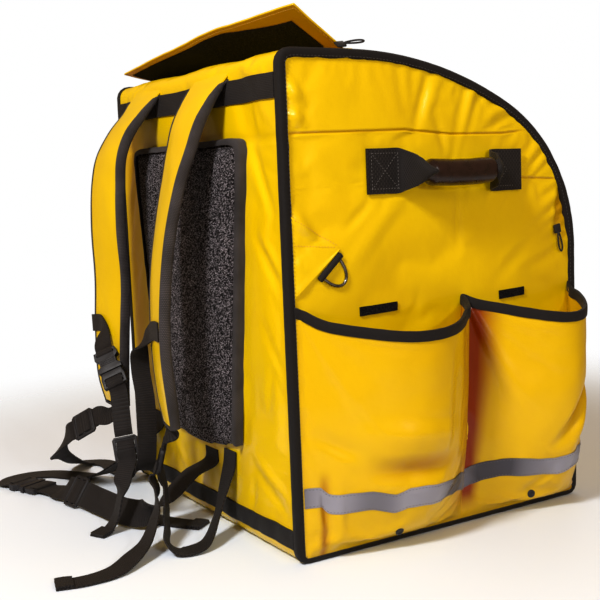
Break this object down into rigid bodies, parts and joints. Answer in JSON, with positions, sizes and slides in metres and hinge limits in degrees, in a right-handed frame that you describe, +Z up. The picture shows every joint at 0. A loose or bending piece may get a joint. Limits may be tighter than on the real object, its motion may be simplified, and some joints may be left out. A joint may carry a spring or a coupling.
{
  "type": "insulated delivery backpack",
  "caption": "Insulated box-shaped delivery backpack with a curved zipped lid, bellows side pockets, grab handles, D-rings, padded shoulder straps and loose chest and waist straps.",
  "frame": {"origin": "middle of the underside of the base, on the floor", "axes": "+Z up, +X towards the right-hand side, -Y towards the harness, +Y towards the front"},
  "size_m": [0.5793, 0.6019, 0.5418],
  "materials": {
    "yellow_pvc": "PVC-coated cloth over foam, half gloss",
    "black_tape": "folded woven edge tape, matt",
    "black_webbing": "ribbed woven webbing, matt",
    "black_mesh": "open spacer mesh with pale specks, matt",
    "dark_plastic": "moulded plastic, satin",
    "reflective_tape": "retro-reflective tape, satin",
    "dark_steel": "darkened steel wire and castings",
    "grip_rubber": "soft tube, matt"
  },
  "bodies": {
    "bag": {"back_pad": "black_mesh", "back_panel": "yellow_pvc", "base_panel": "yellow_pvc", "chest_adjuster": "dark_plastic", "chest_prong": "dark_plastic", "chest_socket": "dark_plastic", "chest_tab_left": "black_webbing", "chest_tail": "black_webbing", "chest_web_left": "black_webbing", "chest_web_right": "black_webbing", "edge_binding_left": "black_tape", "edge_binding_right": "black_tape", "flap_patch": "black_mesh", "front_panel": "yellow_pvc", "handle_grip_left": "grip_rubber", "handle_grip_right": "grip_rubber", "handle_web_left": "black_webbing", "handle_web_right": "black_webbing", "hem_band": "black_tape", "lid_panel": "yellow_pvc", "lower_tail_right": "black_webbing", "lower_web_left": "black_webbing", "lower_web_right": "black_webbing", "pocket_binding_left": "black_tape", "pocket_binding_right": "black_tape", "pocket_left": "yellow_pvc", "pocket_right": "yellow_pvc", "reflective_stripe_left": "reflective_tape", "reflective_stripe_right": "reflective_tape", "ring_loop_left": "black_webbing", "ring_loop_right": "black_webbing", "ring_tab_left": "yellow_pvc", "ring_tab_right": "yellow_pvc", "side_panel_left": "yellow_pvc", "side_panel_right": "yellow_pvc", "strap_binding_left": "black_tape", "strap_binding_right": "black_tape", "strap_cover_left": "yellow_pvc", "strap_cover_right": "yellow_pvc", "strap_end_left": "black_webbing", "strap_end_right": "black_webbing", "strap_lock_left": "dark_plastic", "strap_lock_right": "dark_plastic", "strap_pad_left": "black_mesh", "strap_pad_right": "black_mesh", "top_flap": "yellow_pvc", "waist_adjuster": "dark_plastic", "waist_link": "black_webbing", "waist_prong": "dark_plastic", "waist_socket": "dark_plastic", "waist_tail": "black_webbing", "waist_web_left": "black_webbing", "waist_web_right": "black_webbing", "yoke_band": "black_webbing", "zip_pull_front": "dark_steel", "zip_pull_top": "dark_steel", "zipper_left": "black_tape", "zipper_right": "black_tape"},
    "d_ring_right": {"d_ring_right": "dark_steel"},
    "d_ring_left": {"d_ring_left": "dark_steel"}
  },
  "joints": [
    {"name": "ring_swing_right", "type": "hinge", "parent": "bag", "child": "d_ring_right", "pos_m": [0.20531, -0.14362, 0.29208], "axis": [0, -0.7365, -0.6764], "range_deg": [0, 150]},
    {"name": "ring_swing_left", "type": "hinge", "parent": "bag", "child": "d_ring_left", "pos_m": [-0.20531, -0.14362, 0.29208], "axis": [0, 0.7365, 0.6764], "range_deg": [0, 150]}
  ]
}
